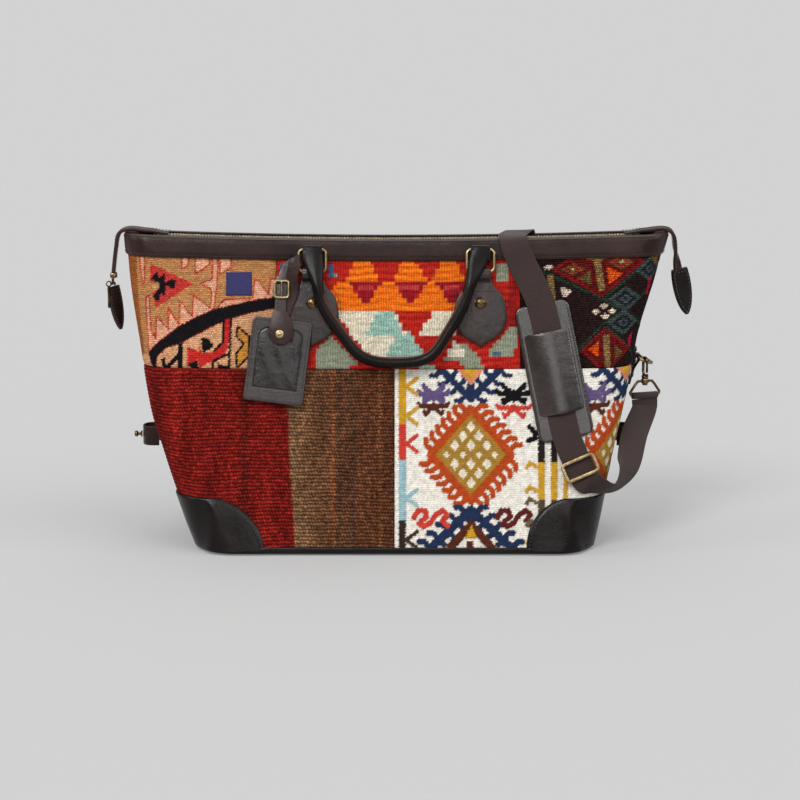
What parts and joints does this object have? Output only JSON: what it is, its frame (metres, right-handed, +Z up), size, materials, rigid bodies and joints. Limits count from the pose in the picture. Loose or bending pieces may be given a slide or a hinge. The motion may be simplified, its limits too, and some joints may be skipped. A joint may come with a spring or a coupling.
{
  "type": "weekender bag",
  "caption": "Soft weekender bag of kilim patchwork with leather trim, a zip top, rolled handles, a luggage tag and a clip-on shoulder strap.",
  "frame": {"origin": "on the floor under the middle of the base", "axes": "+X along the bag to the right seen from the front, +Y to the back, +Z up"},
  "size_m": [0.5995, 0.211, 0.3254],
  "materials": {
    "kilim_tan": "woven wool",
    "kilim_orange": "woven wool",
    "kilim_dark": "woven wool",
    "kilim_ribbed": "ribbed wool",
    "kilim_cream": "brocaded wool",
    "kilim_back_red": "ribbed wool",
    "kilim_back_brown": "ribbed wool",
    "leather_dark": "satin",
    "leather_black": "satin",
    "leather_edge": "satin",
    "antique_brass": "antiqued",
    "webbing": "twill webbing",
    "lining_cloth": "plain weave",
    "zip_cloth": "plain weave",
    "board": "matte"
  },
  "bodies": {
    "bag": {"front_upper_left_kilim": "kilim_tan", "front_upper_centre_kilim": "kilim_orange", "front_upper_right_kilim": "kilim_dark", "front_lower_left_kilim": "kilim_ribbed", "front_lower_right_kilim": "kilim_cream", "back_upper_kilim": "kilim_back_red", "back_lower_kilim": "kilim_back_brown", "base_leather": "leather_black", "base_board": "board", "lining": "lining_cloth", "front_top_band": "leather_dark", "back_top_band": "leather_dark", "right_zip_tail": "leather_dark", "left_zip_tail": "leather_edge", "tag_strap": "leather_edge", "luggage_tag": "leather_black", "front_left_corner": "leather_black", "front_left_handle_tab": "leather_dark", "front_left_ring": "antique_brass", "front_left_stud": "antique_brass", "front_right_corner": "leather_black", "front_right_handle_tab": "leather_dark", "front_right_ring": "antique_brass", "front_right_stud": "antique_brass", "back_left_corner": "leather_black", "back_left_handle_tab": "leather_dark", "back_left_ring": "antique_brass", "back_left_stud": "antique_brass", "back_right_corner": "leather_black", "back_right_handle_tab": "leather_dark", "back_right_ring": "antique_brass", "back_right_stud": "antique_brass", "left_seam_strip": "leather_black", "left_cinch_loop": "leather_dark", "left_d_ring_chape": "leather_dark", "left_cinch_stud": "antique_brass", "left_d_ring": "antique_brass", "left_strap_eye": "antique_brass", "right_seam_strip": "leather_black", "right_cinch_loop": "leather_dark", "right_d_ring_chape": "leather_dark", "right_cinch_stud": "antique_brass", "right_d_ring": "antique_brass", "right_strap_eye": "antique_brass", "front_zip_tape": "zip_cloth", "back_zip_tape": "zip_cloth", "zip_chain": "antique_brass", "zip_slider": "antique_brass", "strap_adjuster": "antique_brass", "tag_buckle": "antique_brass", "shoulder_strap": "webbing"},
    "front_handle": {"front_handle": "leather_dark"},
    "back_handle": {"back_handle": "leather_dark"},
    "zip_pull": {"zip_pull_leaf": "leather_dark"},
    "right_hook": {"right_hook": "antique_brass"},
    "right_gate": {"right_hook_gate": "antique_brass"},
    "left_hook": {"left_hook": "antique_brass"},
    "left_gate": {"left_hook_gate": "antique_brass"},
    "shoulder_pad": {"shoulder_pad": "leather_black", "shoulder_pad_cover": "leather_dark"}
  },
  "joints": [
    {"name": "front_handle_swing", "type": "hinge", "parent": "bag", "child": "front_handle", "pos_m": [0, -0.03895, 0.30578], "axis": [-1, 0, 0], "range_deg": [0, 165]},
    {"name": "back_handle_swing", "type": "hinge", "parent": "bag", "child": "back_handle", "pos_m": [0, 0.03895, 0.30578], "axis": [1, 0, 0], "range_deg": [0, 165]},
    {"name": "zip_pull_swing", "type": "hinge", "parent": "bag", "child": "zip_pull", "pos_m": [-0.295, 0, 0.2654], "axis": [0, 1, 0], "range_deg": [-18, 80]},
    {"name": "right_hook_swivel", "type": "hinge", "parent": "bag", "child": "right_hook", "pos_m": [0.25909, -0.01247, 0.18613], "axis": [0, 0, 1], "range_deg": [-12, 12]},
    {"name": "right_gate_hinge", "type": "hinge", "parent": "right_hook", "child": "right_gate", "pos_m": [0.26059, -0.01671, 0.17453], "axis": [-0.9426, -0.334, 0], "range_deg": [0, 18], "stiffness_Nm_per_rad": 0.01, "springref_deg": -11.46},
    {"name": "left_hook_swivel", "type": "hinge", "parent": "bag", "child": "left_hook", "pos_m": [-0.25783, 0.01247, 0.18373], "axis": [-0.0998, -0.9878, 0.1197], "range_deg": [-12, 12]},
    {"name": "left_gate_hinge", "type": "hinge", "parent": "left_hook", "child": "left_gate", "pos_m": [-0.26064, 0.02458, 0.18435], "axis": [0.4575, 0.0613, 0.8871], "range_deg": [0, 18], "stiffness_Nm_per_rad": 0.01, "springref_deg": -11.46},
    {"name": "shoulder_pad_slide", "type": "slide", "parent": "bag", "child": "shoulder_pad", "axis": [-0.1884, 0.2239, 0.9563], "range_m": [-0.004, 0.012]}
  ]
}
